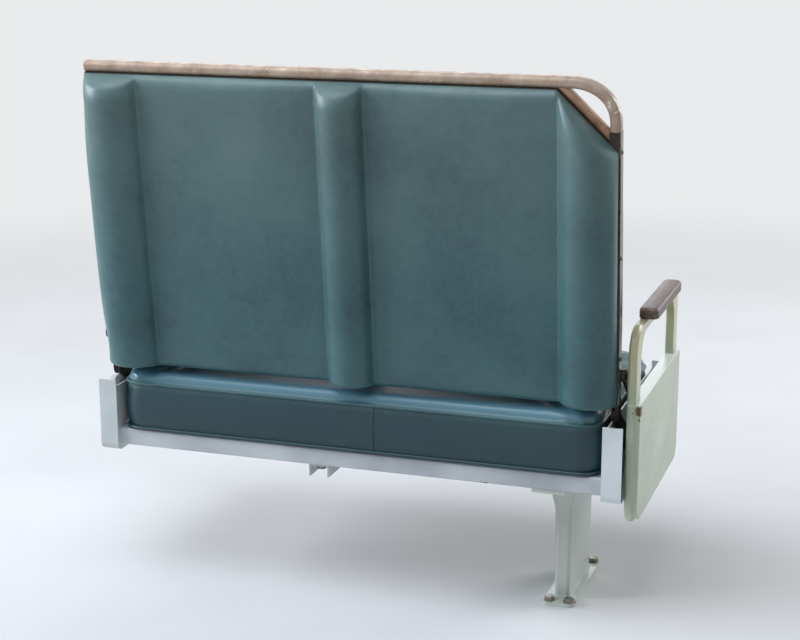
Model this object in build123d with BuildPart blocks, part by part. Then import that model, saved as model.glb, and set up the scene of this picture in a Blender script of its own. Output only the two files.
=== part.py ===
from build123d import *
import math
import os

# Double walkover seat of a passenger coach: one upholstered back, padded on both
# faces, is thrown over the cushion so that the sitters can face either way.
# Millimetres. +X runs towards the aisle, +Y the way the sitters face, +Z up.
# The origin is on the floor, at the middle of the pedestal's bolt pattern.

# Back: its edges across the seat, its length along the lean, and its frame
back_wall_x = -891.0
back_aisle_x = 124.0
back_length = 598.0
back_recline = 6.5
back_thickness = 26.0
wall_stile_width = 12.0
strip_thickness = 3.0
strip_width = 20.0
bottom_rail_height = 18.0

# Top rail of the back: an oval tube that comes round the aisle corner in two arcs
tube_width = 20.0
tube_rounding = 8.0
entry_radius = 95.0
entry_turn = 30.0
tube_reach_down = 92.0
corner_radius = 75.0

# Corner grip: how far its lower side starts from the corner, along the top and down the edge
grip_reach_along = 111.0
grip_reach_down = 110.0
grip_width = 14.0
grip_depth = 20.0
grip_rounding = 5.0

# Upholstery of the back
soft_gap = 0.3
flat_pad_thickness = 16.0
bolster_rise = 40.0
bolster_fade = 60.0
wall_bolster_width = 110.0
centre_bolster_width = 90.0
aisle_bolster_width = 103.0

# Walkover linkage, side view. Both arms of a pair turn on the seat's middle plane.
pivot_back_y = 204.5
pivot_back_z = 495.5
pivot_above_edge = 56.7
pivot_spacing = 75.0
shaft_z = 290.0
shaft_radius = 12.0
bearing_edge = 7.0
pin_radius = 6.0
boss_edge = 5.0
running_clearance = 0.05
fixed_clearance = 0.05
open_pivot_clearance = 1.0
side_play = 0.5
main_hub_radius = 21.0
main_eye_radius = 13.0
guide_hub_radius = 14.0
guide_eye_radius = 12.0
stop_radius = 9.0
stop_reach = 150.0
stop_gap = 0.3

# Places across the seat: inset is inwards from the edge of the back, outset is outwards
inner_wall_inset = 22.0
main_arm_inset = 14.0
main_arm_thickness = 6.0
lug_inset = 7.7
lug_thickness = 7.2
guide_outset = 5.0
guide_thickness = 5.0
end_outset = 15.0

# Cushion, pan and rails
cushion_depth = 484.0
cushion_bottom_z = 308.0
cushion_top_z = 430.0
cushion_corner = 48.0
cushion_bevel = 18.0
rail_top_z = 307.0
rail_height = 34.0
rail_width = 36.0
rail_sheet = 3.0
rail_bend = 4.0
rail_outer_y = 232.0
pan_sheet = 2.0
pan_height = 11.0
pan_inset = 8.0
pan_corner = 30.0
tie_width = 40.0
tie_height = 24.0

# Housings
housing_sheet = 3.0
housing_bottom_z = 262.0
housing_end_top_z = 407.0
housing_wall_top_z = 395.0
housing_length = 486.0
housing_corner = 14.0

# Pedestal
bearer_height = 28.0
bearer_end_height = 8.0
bearer_width = 60.0
bearer_length = 456.0
neck_z = 189.0
neck_width = 34.0
neck_depth = 190.0
head_width = 60.0
head_depth = 200.0
column_foot_width = 30.0
column_foot_depth = 180.0
column_rounding = 8.0
column_sheet = 3.0
foot_width = 62.0
foot_length = 250.0
foot_thickness = 7.0
foot_corner = 12.0
foot_hole_radius = 6.0
foot_hole_x = 38.0
foot_hole_y = 222.0

# Aisle end: frame, panel and arm pad
arm_frame_length = 428.0
arm_frame_top_z = 584.0
arm_frame_bottom_z = 214.0
arm_frame_thickness = 16.0
arm_bar_width = 44.0
arm_top_bar = 20.0
arm_bottom_bar = 42.0
arm_corner_radius = 50.0
arm_lower_radius = 36.0
arm_edge_bevel = 4.0
window_corner = 46.0
window_edge_bevel = 2.0
pocket_corner = 20.0
pocket_margin = 30.0
web_width = 64.0
panel_top_z = 443.0
panel_margin = 5.0
panel_proud = 8.0
panel_sheet = 2.0
ledge_thickness = 6.0
ledge_gap = 0.5
pad_length = 264.0
pad_width = 36.0
pad_height = 22.0
pad_end_radius = 17.0
pad_bevel = 7.0
pad_overhang = 0.0

# Wall end
wall_plate_thickness = 10.0
wall_plate_length = 380.0
wall_plate_top_z = 395.0
wall_plate_corner = 30.0
wall_hole_y = 300.0
wall_hole_z = 80.0
wall_hole_mid_z = 330.0
wall_hole_radius = 5.5

# The guide's lower pivot is worked out so that the linkage also closes with everything
# upright, half way over. That makes the back lean alike at both ends of its throw.
tilt = math.radians(back_recline)
lower_pivot_y = pivot_back_y - pivot_spacing * math.sin(tilt)
lower_pivot_z = pivot_back_z - pivot_spacing * math.cos(tilt)
main_arm_length = math.hypot(lower_pivot_y, lower_pivot_z - shaft_z)
main_arm_lean = math.atan2(lower_pivot_y, lower_pivot_z - shaft_z)
upright_top_z = shaft_z + main_arm_length + pivot_spacing
guide_pivot_z = (upright_top_z**2 - pivot_back_y**2 - pivot_back_z**2) / (
    2 * (upright_top_z - pivot_back_z)
)

# Planes of the back at rest. On its face, seen from behind, local y runs up the back from
# the guide's pin. On its section, seen from above, local y runs forwards.
back_face = Plane(
    origin=(0, -pivot_back_y, pivot_back_z),
    x_dir=(1, 0, 0),
    z_dir=(0, -math.cos(tilt), -math.sin(tilt)),
)
face_bottom = -pivot_above_edge
face_top = face_bottom + back_length
board_top = face_top - tube_width
section = Plane(
    origin=back_face.from_local_coords((0, face_bottom, 0)),
    x_dir=(1, 0, 0),
    z_dir=(0, -math.sin(tilt), math.cos(tilt)),
)

# The two ends of the seat: name, edge of the back, sign of the outward direction
ends = [("aisle", back_aisle_x, 1), ("wall", back_wall_x, -1)]

os.makedirs("parts", exist_ok=True)


def write(piece, name):
    """Label one finished piece and write its file."""
    piece.part.label = name
    export_step(piece.part, "parts/" + name + ".step")


def side_plane(x, side):
    """Plane across the seat at x that faces outwards: local x is side times Y, local y is Z."""
    return Plane(origin=(x, 0, 0), x_dir=(0, side, 0), z_dir=(side, 0, 0))


def back_side_plane(x, side, up):
    """Like side_plane, but it leans with the back: local y runs up the back from the place up."""
    return Plane(
        origin=back_face.from_local_coords((x, up, 0)),
        x_dir=(0, side * math.cos(tilt), side * math.sin(tilt)),
        z_dir=(side, 0, 0),
    )


# Pedestal: bolted foot, sheet column that flares into a head, and the bearer under the rails
with BuildPart() as pedestal_foot:
    with BuildSketch():
        RectangleRounded(foot_width, foot_length, foot_corner)
    extrude(amount=foot_thickness)
    with GridLocations(foot_hole_x, foot_hole_y, 2, 2):
        Hole(foot_hole_radius)
write(pedestal_foot, "pedestal_foot")

bearer_top_z = rail_top_z - rail_height
bearer_bottom_z = bearer_top_z - bearer_height
# height, width and depth of the column's outside, from the foot to the head
column_levels = [
    (foot_thickness, column_foot_width, column_foot_depth),
    (neck_z, neck_width, neck_depth),
    (bearer_bottom_z, head_width, head_depth),
]
with BuildPart() as pedestal_column:
    for low, high in zip(column_levels[:-1], column_levels[1:]):
        for level_z, width, depth in (low, high):
            with BuildSketch(Plane.XY.offset(level_z)):
                RectangleRounded(width, depth, column_rounding)
        loft()
    with BuildSketch(Plane.XY.offset(foot_thickness)):
        Rectangle(column_foot_width - 2 * column_sheet, column_foot_depth - 2 * column_rounding)
    extrude(amount=bearer_bottom_z - foot_thickness, mode=Mode.SUBTRACT)
write(pedestal_column, "pedestal_column")

# The bearer is deep over the column's head and thin at the rails
with BuildPart() as pedestal_bearer:
    with BuildSketch(Plane.YZ.offset(-bearer_width / 2)):
        with BuildLine():
            Polyline(
                (-bearer_length / 2, bearer_top_z),
                (-bearer_length / 2, bearer_top_z - bearer_end_height),
                (-head_depth / 2, bearer_bottom_z),
                (head_depth / 2, bearer_bottom_z),
                (bearer_length / 2, bearer_top_z - bearer_end_height),
                (bearer_length / 2, bearer_top_z),
                close=True,
            )
        make_face()
    extrude(amount=bearer_width)
write(pedestal_bearer, "pedestal_bearer")

# Rails: pressed channels from one housing to the other, their backs outwards
rail_from = back_wall_x + inner_wall_inset
rail_to = back_aisle_x - inner_wall_inset
rail_mid_z = rail_top_z - rail_height / 2
for name, outward, outward_end in (("front_rail", 1, -1), ("rear_rail", -1, 0)):
    mid_y = outward * (rail_outer_y - rail_width / 2)
    with BuildPart() as rail:
        with BuildSketch(Plane.YZ.offset(rail_from)) as channel:
            with Locations((mid_y, rail_mid_z)):
                Rectangle(rail_width, rail_height)
            fillet(channel.vertices().group_by(Axis.X)[outward_end], rail_bend)
            with Locations((mid_y - outward * rail_sheet, rail_mid_z)):
                Rectangle(rail_width, rail_height - 2 * rail_sheet, mode=Mode.SUBTRACT)
        extrude(amount=rail_to - rail_from)
    write(rail, name)

# Cross tie: a channel under the rails, half way along the span that has no pedestal
tie_x = (rail_from - bearer_width / 2) / 2
with BuildPart() as cross_tie:
    with BuildSketch(Plane.XZ.offset(-bearer_length / 2)):
        with Locations((tie_x, bearer_top_z - tie_height / 2)):
            Rectangle(tie_width, tie_height)
        with Locations((tie_x, bearer_top_z - rail_sheet - tie_height / 2)):
            Rectangle(tie_width - 2 * rail_sheet, tie_height, mode=Mode.SUBTRACT)
    extrude(amount=bearer_length)
write(cross_tie, "cross_tie")

# Housings: a sheet trough at each end for the arms, open above and outwards, with a
# bearing for the shaft on its inner wall
bearing_length = inner_wall_inset - main_arm_inset - side_play
for end, edge_x, side in ends:
    plane = side_plane(edge_x - side * inner_wall_inset, side)
    with BuildPart() as housing:
        with BuildSketch(plane):
            with Locations((0, (housing_bottom_z + housing_end_top_z) / 2)):
                Rectangle(housing_length, housing_end_top_z - housing_bottom_z)
        extrude(amount=inner_wall_inset + end_outset)
        fillet(housing.edges().filter_by(Axis.X).group_by(Axis.Z)[0], housing_corner)
        above = housing.faces().sort_by(Axis.Z)[-1]
        outside = housing.faces().sort_by(Axis.X)[-1 if side > 0 else 0]
        offset(amount=-housing_sheet, openings=[above, outside])
        with BuildSketch(plane):
            with Locations((0, (housing_wall_top_z + housing_end_top_z) / 2)):
                Rectangle(
                    housing_length - 2 * housing_sheet, housing_end_top_z - housing_wall_top_z
                )
        extrude(amount=housing_sheet, mode=Mode.SUBTRACT)
        with BuildSketch(plane):
            with Locations((0, shaft_z)):
                Circle(shaft_radius + bearing_edge)
        extrude(amount=bearing_length)
        with BuildSketch(plane):
            with Locations((0, shaft_z)):
                Circle(shaft_radius + running_clearance)
        extrude(amount=bearing_length, mode=Mode.SUBTRACT)
    write(housing, end + "_housing")

# Stops: sleeved studs that the main arm comes to lie on at each end of its throw. The arm
# tapers, so a stop lies square to the arm's edge and not to its middle line.
stop_length = inner_wall_inset - housing_sheet - main_arm_inset + main_arm_thickness
edge_lean = main_arm_lean - math.asin((main_hub_radius - main_eye_radius) / main_arm_length)
stop_off = main_hub_radius + stop_gap + stop_radius
stop_y = stop_reach * math.sin(edge_lean) + stop_off * math.cos(edge_lean)
stop_z = shaft_z + stop_reach * math.cos(edge_lean) - stop_off * math.sin(edge_lean)
for end, edge_x, side in ends:
    with BuildPart() as stops:
        with BuildSketch(side_plane(edge_x - side * (inner_wall_inset - housing_sheet), side)):
            with Locations((-stop_y, stop_z), (stop_y, stop_z)):
                Circle(stop_radius)
        extrude(amount=stop_length)
    write(stops, end + "_stops")

# Torsion shaft: ties the two main arms together under the cushion
with BuildPart() as torsion_shaft:
    arm_outer_inset = main_arm_inset - main_arm_thickness
    with BuildSketch(Plane.YZ.offset(back_wall_x + arm_outer_inset - 1)):
        with Locations((0, shaft_z)):
            Circle(shaft_radius)
    extrude(amount=back_aisle_x - back_wall_x - 2 * (arm_outer_inset - 1))
    chamfer(torsion_shaft.faces().filter_by(Axis.X).edges(), 0.8)
write(torsion_shaft, "torsion_shaft")

# Arms. The main arm is keyed on the shaft and carries the back at the lower pin. The guide
# turns on the seat's end, and its upper eye steers the back at the upper pin.
for end, edge_x, side in ends:
    # name, inner face, thickness, low centre, high centre, low and high radius, low and high bore
    arms = [
        (
            "_main_arm",
            edge_x - side * main_arm_inset,
            main_arm_thickness,
            (0, shaft_z),
            (-side * lower_pivot_y, lower_pivot_z),
            (main_hub_radius, main_eye_radius),
            (shaft_radius + fixed_clearance, pin_radius + running_clearance),
        ),
        (
            "_guide_arm",
            edge_x + side * guide_outset,
            guide_thickness,
            (0, guide_pivot_z),
            (-side * pivot_back_y, pivot_back_z),
            (guide_hub_radius, guide_eye_radius),
            (pin_radius + running_clearance, pin_radius + open_pivot_clearance),
        ),
    ]
    for name, inner_x, thickness, low, high, radii, bores in arms:
        with BuildPart() as arm:
            with BuildSketch(side_plane(inner_x, side)):
                with Locations(low):
                    Circle(radii[0])
                with Locations(high):
                    Circle(radii[1])
                make_hull()
                with Locations(low):
                    Circle(bores[0], mode=Mode.SUBTRACT)
                with Locations(high):
                    Circle(bores[1], mode=Mode.SUBTRACT)
            extrude(amount=thickness)
        write(arm, end + name)

# Aisle end frame: a flat loop with round corners. The window is above the panel, and a web
# behind the panel carries the guide's pin.
frame_x = back_aisle_x + end_outset
guide_boss_length = end_outset - guide_outset - guide_thickness - side_play
guide_pin_length = end_outset - guide_outset + 1
window_half = arm_frame_length / 2 - arm_bar_width
window_top_z = arm_frame_top_z - arm_top_bar
sill_z = panel_top_z - ledge_thickness
pocket_bottom_z = arm_frame_bottom_z + arm_bottom_bar
pocket_top_z = panel_top_z - pocket_margin
with BuildPart() as arm_frame:
    with BuildSketch(side_plane(frame_x, 1)):
        with Locations((0, (arm_frame_top_z + arm_frame_bottom_z) / 2)):
            Rectangle(arm_frame_length, arm_frame_top_z - arm_frame_bottom_z)
    extrude(amount=arm_frame_thickness)
    fillet(arm_frame.edges().filter_by(Axis.X).group_by(Axis.Z)[-1], arm_corner_radius)
    fillet(arm_frame.edges().filter_by(Axis.X).group_by(Axis.Z)[0], arm_lower_radius)
    chamfer(arm_frame.faces().filter_by(Axis.X).edges(), arm_edge_bevel)
    with BuildSketch(side_plane(frame_x, 1)) as window:
        with Locations((0, (window_top_z + sill_z) / 2)):
            Rectangle(2 * window_half, window_top_z - sill_z)
        fillet(window.vertices().group_by(Axis.Y)[-1], window_corner)
    extrude(amount=arm_frame_thickness, mode=Mode.SUBTRACT)
    window_rim = arm_frame.faces().filter_by(Axis.X).edges().filter_by(
        lambda edge: sill_z < edge.center().Z <= window_top_z
        and abs(edge.center().Y) <= window_half
    )
    chamfer(window_rim, window_edge_bevel)
    with BuildSketch(side_plane(frame_x, 1)):
        with Locations((0, (pocket_bottom_z + pocket_top_z) / 2)):
            with GridLocations(window_half + web_width / 2, 1, 2, 1):
                RectangleRounded(
                    window_half - web_width / 2, pocket_top_z - pocket_bottom_z, pocket_corner
                )
    extrude(amount=arm_frame_thickness, mode=Mode.SUBTRACT)
    with BuildSketch(side_plane(frame_x, -1)):
        with Locations((0, guide_pivot_z)):
            Circle(pin_radius + boss_edge)
    extrude(amount=guide_boss_length)
    with BuildSketch(side_plane(frame_x, -1)):
        with Locations((0, guide_pivot_z)):
            Circle(pin_radius)
    extrude(amount=guide_pin_length)
write(arm_frame, "arm_frame")

# Aisle panel: a pressed tray over the frame's whole outside, its top edge turned in as a ledge
panel_bottom_z = arm_frame_bottom_z + panel_margin
panel_plane = side_plane(frame_x + arm_frame_thickness, 1)
# how far inside the panel's outline, how deep, and whether it is filled or hollowed
panel_steps = [
    (0, panel_proud, Mode.ADD),
    (panel_sheet, panel_proud - panel_sheet, Mode.SUBTRACT),
]
with BuildPart() as aisle_panel:
    for inset, depth, mode in panel_steps:
        margin = panel_margin + inset
        with BuildSketch(panel_plane) as outline:
            with Locations((0, (panel_top_z + panel_bottom_z) / 2)):
                Rectangle(arm_frame_length - 2 * margin, panel_top_z - panel_bottom_z - 2 * inset)
            fillet(outline.vertices().group_by(Axis.Y)[0], arm_lower_radius - margin)
        extrude(amount=depth, mode=mode)
    chamfer(aisle_panel.faces().sort_by(Axis.X)[-1].edges(), 1)
    with BuildSketch(side_plane(frame_x, 1)):
        with Locations((0, (panel_top_z + sill_z + ledge_gap) / 2)):
            Rectangle(2 * (window_half - ledge_gap), ledge_thickness - ledge_gap)
    extrude(amount=arm_frame_thickness)
write(aisle_panel, "aisle_panel")

# Arm pad: moulded, with round ends and a crowned top
with BuildPart() as arm_pad:
    with BuildSketch(Plane.XY.offset(arm_frame_top_z + soft_gap)):
        with Locations((frame_x - pad_overhang + pad_width / 2, 0)):
            RectangleRounded(pad_width, pad_length, pad_end_radius)
    extrude(amount=pad_height)
    chamfer(arm_pad.faces().sort_by(Axis.Z)[-1].edges(), pad_bevel)
write(arm_pad, "arm_pad")

# Wall end plate: bolts to the side of the coach and carries the other guide's pin
plate_x = back_wall_x - end_outset
with BuildPart() as wall_plate:
    with BuildSketch(side_plane(plate_x, -1)):
        with Locations((0, (wall_plate_top_z + housing_bottom_z) / 2)):
            RectangleRounded(
                wall_plate_length, wall_plate_top_z - housing_bottom_z, wall_plate_corner
            )
        with Locations((0, wall_hole_mid_z)):
            with GridLocations(wall_hole_y, wall_hole_z, 2, 2):
                Circle(wall_hole_radius, mode=Mode.SUBTRACT)
    extrude(amount=wall_plate_thickness)
    with BuildSketch(side_plane(plate_x, 1)):
        with Locations((0, guide_pivot_z)):
            Circle(pin_radius + boss_edge)
    extrude(amount=guide_boss_length)
    with BuildSketch(side_plane(plate_x, 1)):
        with Locations((0, guide_pivot_z)):
            Circle(pin_radius)
    extrude(amount=guide_pin_length)
write(wall_plate, "wall_plate")

# Cushion on its pan. The pan is a tray turned over that lies on the rails.
cushion_mid_x = (rail_from + rail_to) / 2
pan_length = rail_to - rail_from - 2 * pan_inset
pan_depth = 2 * (rail_outer_y - pan_inset)
with BuildPart() as cushion_pan:
    with BuildSketch(Plane.XY.offset(rail_top_z)):
        with Locations((cushion_mid_x, 0)):
            RectangleRounded(pan_length, pan_depth, pan_corner)
    extrude(amount=pan_height)
    offset(amount=-pan_sheet, openings=cushion_pan.faces().sort_by(Axis.Z)[0])
write(cushion_pan, "cushion_pan")

with BuildPart() as seat_cushion:
    with BuildSketch(Plane.XY.offset(cushion_bottom_z)):
        with Locations((cushion_mid_x, 0)):
            RectangleRounded(rail_to - rail_from - 2 * soft_gap, cushion_depth, cushion_corner)
    extrude(amount=cushion_top_z - cushion_bottom_z)
    chamfer(seat_cushion.faces().sort_by(Axis.Z)[-1].edges(), cushion_bevel)
    with BuildSketch(Plane.XY.offset(cushion_bottom_z)):
        with Locations((cushion_mid_x, 0)):
            RectangleRounded(pan_length + 2 * soft_gap, pan_depth + 2 * soft_gap, pan_corner)
    extrude(amount=rail_top_z + pan_height + soft_gap - cushion_bottom_z, mode=Mode.SUBTRACT)
write(seat_cushion, "seat_cushion")

# Top rail of the back: from the wall edge, through the two arcs, and down the aisle edge
tube_top = face_top - tube_width / 2
tube_side_x = back_aisle_x - tube_width / 2
tube_inner_x = back_aisle_x - tube_width
tube_end = face_top - tube_reach_down
turn = math.radians(entry_turn)
arc_shift = entry_radius - corner_radius
corner_middle = (tube_side_x - corner_radius + tube_width / 2, 0)
entry_middle = (corner_middle[0] - arc_shift * math.sin(turn), face_top - entry_radius)
corner_middle = (corner_middle[0], entry_middle[1] + arc_shift * math.cos(turn))
with BuildPart() as back_rail:
    with BuildLine(back_face) as tube_path:
        Line((back_wall_x, tube_top), (entry_middle[0], tube_top))
        CenterArc(entry_middle, entry_radius - tube_width / 2, 90, -entry_turn)
        CenterArc(corner_middle, corner_radius - tube_width / 2, 90 - entry_turn, entry_turn - 90)
        Line((tube_side_x, corner_middle[1]), (tube_side_x, tube_end))
    tube_start = back_face.from_local_coords((back_wall_x, tube_top, 0))
    with BuildSketch(Plane(origin=tube_start, x_dir=back_face.z_dir, z_dir=(1, 0, 0))):
        RectangleRounded(back_thickness, tube_width, tube_rounding)
    sweep(path=tube_path.wire())
write(back_rail, "back_rail")

# Corner grip: a rounded bar across the corner, coped to the tube, its lower end also butted
# on the aisle stile. It leaves a hole for the hand.
grip_slope = math.atan2(grip_reach_down - tube_width, grip_reach_along - tube_width)
middle_rise = grip_width / 2 / math.cos(grip_slope)
grip_from_x = back_aisle_x - grip_reach_along + (middle_rise - tube_width / 2) / math.tan(grip_slope)
grip_to_y = face_top - grip_reach_down + middle_rise - tube_width / 2 * math.tan(grip_slope)
with BuildPart() as corner_grip:
    with BuildLine(back_face) as grip_line:
        Line((grip_from_x, tube_top), (tube_side_x, grip_to_y))
    bar = grip_line.wire()
    with BuildSketch(Plane(origin=bar @ 0, x_dir=back_face.z_dir, z_dir=bar % 0)):
        RectangleRounded(grip_depth, grip_width, grip_rounding)
    extrude(amount=bar.length)
    add(back_rail.part, mode=Mode.SUBTRACT)
    with BuildSketch(back_face.offset(-grip_depth)):
        with Locations((tube_side_x, (face_bottom + tube_end) / 2)):
            Rectangle(tube_width, tube_end - face_bottom)
    extrude(amount=2 * grip_depth, mode=Mode.SUBTRACT)
write(corner_grip, "corner_grip")

# Edges of the back below the tube: a stile at each end, the screwed strip on the aisle
# edge, and the bottom rail between the stiles
# name, from and to across the seat, from and to up the back, thickness
strip_inner_x = back_aisle_x - strip_thickness
stile_inner_x = back_wall_x + wall_stile_width
rail_up = face_bottom + bottom_rail_height
edging = [
    ("aisle_stile", tube_inner_x, strip_inner_x, face_bottom, tube_end, back_thickness),
    ("side_strip", strip_inner_x, back_aisle_x, face_bottom, tube_end, strip_width),
    ("wall_stile", back_wall_x, stile_inner_x, face_bottom, board_top, back_thickness),
    ("back_bottom_rail", stile_inner_x, tube_inner_x, face_bottom, rail_up, back_thickness),
]
for name, x_from, x_to, up_from, up_to, thickness in edging:
    with BuildPart() as edge_piece:
        with BuildSketch(back_face.offset(-thickness / 2)):
            with Locations(((x_from + x_to) / 2, (up_from + up_to) / 2)):
                Rectangle(x_to - x_from, up_to - up_from)
        extrude(amount=thickness)
    write(edge_piece, name)

# What the board and the upholstery leave free at the aisle corner, above the grip's lower side
waste_reach = back_thickness / 2 + flat_pad_thickness + bolster_rise + 10
gap_rise = soft_gap / math.cos(grip_slope)
waste_low = face_top - grip_reach_down - tube_width * math.tan(grip_slope) - gap_rise
waste_high_x = back_aisle_x - grip_reach_along - gap_rise / math.tan(grip_slope)
with BuildPart() as corner_waste:
    with BuildSketch(back_face.offset(-waste_reach)):
        with BuildLine():
            Polyline(
                (back_aisle_x, waste_low),
                (back_aisle_x, face_top),
                (waste_high_x - tube_width / math.tan(grip_slope), face_top),
                close=True,
            )
        make_face()
    extrude(amount=2 * waste_reach)

with BuildPart() as back_board:
    with BuildSketch(back_face.offset(-back_thickness / 2)):
        with Locations(((stile_inner_x + tube_inner_x) / 2, (rail_up + board_top) / 2)):
            Rectangle(tube_inner_x - stile_inner_x, board_top - rail_up)
    extrude(amount=back_thickness)
    add(corner_waste.part, mode=Mode.SUBTRACT)
write(back_board, "back_board")

# Lugs under the back for the main arms' pins, and the pins on its edges for the guides
pin_drop = pivot_spacing - pivot_above_edge
arm_pin_length = main_arm_inset + side_play - lug_inset
for end, edge_x, side in ends:
    lug_x = edge_x - side * lug_inset
    with BuildPart() as lug:
        with BuildSketch(back_side_plane(lug_x, side, face_bottom)):
            with Locations((0, -pin_drop / 2)):
                Rectangle(2 * main_eye_radius, pin_drop)
            with Locations((0, -pin_drop)):
                Circle(main_eye_radius)
        extrude(amount=lug_thickness)
        with BuildSketch(back_side_plane(lug_x, -side, face_bottom)):
            with Locations((0, -pin_drop)):
                Circle(pin_radius)
        extrude(amount=arm_pin_length)
    write(lug, end + "_lug")

    with BuildPart() as back_pin:
        with BuildSketch(side_plane(edge_x, side)):
            with Locations((-side * pivot_back_y, pivot_back_z)):
                Circle(pin_radius + boss_edge)
        extrude(amount=guide_outset - side_play)
        with BuildSketch(side_plane(edge_x, side)):
            with Locations((-side * pivot_back_y, pivot_back_z)):
                Circle(pin_radius)
        extrude(amount=guide_outset + guide_thickness + 2)
    write(back_pin, end + "_back_pin")

# Upholstery, one set for each face of the back. The centre bolster lies half way between
# the outer two, and the flats fill what is left.
wall_bolster_end = back_wall_x + wall_bolster_width
aisle_bolster_start = strip_inner_x - aisle_bolster_width
centre_start = (wall_bolster_end + aisle_bolster_start - centre_bolster_width) / 2
centre_end = centre_start + centre_bolster_width
# name, from and to across the seat, height of the crest over the flats
upholstery = [
    ("wall_bolster", back_wall_x, wall_bolster_end, bolster_rise),
    ("wall_pad", wall_bolster_end, centre_start, 0),
    ("centre_bolster", centre_start, centre_end, bolster_rise),
    ("aisle_pad", centre_end, aisle_bolster_start, 0),
    ("aisle_bolster", aisle_bolster_start, strip_inner_x, bolster_rise),
]
soft_length = back_length - tube_width - soft_gap
core = back_thickness / 2 + soft_gap
shoulder = core + flat_pad_thickness
for face_name, toward in (("rear", -1), ("front", 1)):
    for name, x_from, x_to, rise in upholstery:
        left = x_from + soft_gap
        right = x_to - soft_gap
        with BuildPart() as soft:
            with BuildSketch(section):
                with Locations(((left + right) / 2, toward * (core + shoulder) / 2)):
                    Rectangle(right - left, flat_pad_thickness)
                if rise:
                    with BuildLine():
                        crest = ((left + right) / 2, toward * (shoulder + rise))
                        ThreePointArc((right, toward * shoulder), crest, (left, toward * shoulder))
                        Line((left, toward * shoulder), (right, toward * shoulder))
                    make_face()
            extrude(amount=soft_length)
            if rise:
                # the crest falls away to the flats under the top rail
                with BuildSketch(back_side_plane(left, 1, face_bottom + soft_length)):
                    with BuildLine():
                        Polyline(
                            (toward * (shoulder + rise), -bolster_fade),
                            (toward * (shoulder + rise), 0),
                            (toward * shoulder, 0),
                            close=True,
                        )
                    make_face()
                extrude(amount=right - left, mode=Mode.SUBTRACT)
            if x_to > centre_end:
                add(corner_waste.part, mode=Mode.SUBTRACT)
        write(soft, face_name + "_" + name)
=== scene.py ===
import math

import bmesh
import bpy
import numpy as np
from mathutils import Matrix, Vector


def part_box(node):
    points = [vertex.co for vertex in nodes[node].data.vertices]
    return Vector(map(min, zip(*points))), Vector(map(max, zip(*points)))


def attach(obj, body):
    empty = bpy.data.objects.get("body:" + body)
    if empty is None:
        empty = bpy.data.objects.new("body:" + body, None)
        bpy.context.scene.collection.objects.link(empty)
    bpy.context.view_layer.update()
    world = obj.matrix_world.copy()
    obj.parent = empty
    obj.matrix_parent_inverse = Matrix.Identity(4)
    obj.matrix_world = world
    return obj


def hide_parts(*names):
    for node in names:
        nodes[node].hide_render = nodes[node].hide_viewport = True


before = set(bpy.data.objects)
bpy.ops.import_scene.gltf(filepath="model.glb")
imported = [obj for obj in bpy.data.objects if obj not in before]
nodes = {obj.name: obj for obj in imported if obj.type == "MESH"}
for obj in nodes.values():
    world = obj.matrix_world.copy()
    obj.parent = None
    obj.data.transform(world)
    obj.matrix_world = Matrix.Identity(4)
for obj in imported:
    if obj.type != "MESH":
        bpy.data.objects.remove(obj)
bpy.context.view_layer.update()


# Pedestal. A bolted foot plate, a sheet-steel column that flares into a head, and a folded
# bearer, welded together and sprayed with the same cream enamel as the rest of the ironwork.
def linear(code):
    """sRGB hex text to the linear colour that a shader wants: ((c + 0.055) / 1.055) ** 2.4."""
    parts = [int(code[i:i + 2], 16) / 255 for i in (0, 2, 4)]
    return tuple(((c + 0.055) / 1.055) ** 2.4 if c > 0.04045 else c / 12.92 for c in parts) + (1.0,)


def grey(level):
    return (level, level, level, 1.0)


def feed(tree, node, links):
    """Links a node's inputs: each link is (socket, source), and a node stands for its first output."""
    for socket, source in links:
        if isinstance(source, bpy.types.Node):
            source = source.outputs[0]
        tree.links.new(source, node.inputs[socket])


def add(tree, kind, values=(), links=(), stops=(), **settings):
    """Adds one shader node: settings are its properties, values its constants, links its inputs, and
    stops the (place, colour) pairs of a colour ramp."""
    node = tree.nodes.new("ShaderNode" + kind)
    for name, value in settings.items():
        setattr(node, name, value)
    for socket, value in values:
        node.inputs[socket].default_value = value
    if stops:
        elements = node.color_ramp.elements
        elements[0].position, elements[0].color = stops[0]
        elements[1].position, elements[1].color = stops[-1]
        for place, colour in stops[1:-1]:
            elements.new(place).color = colour
    feed(tree, node, links)
    return node


def new_material(name, values):
    """A material with one Principled shader: returns it, its tree, the shader and a point's place."""
    material = bpy.data.materials.new(name)
    material.use_nodes = True
    tree = material.node_tree
    shader = tree.nodes["Principled BSDF"]
    for socket, value in values:
        shader.inputs[socket].default_value = value
    place = add(tree, "TexCoord").outputs["Object"]
    return material, tree, shader, place


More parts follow.
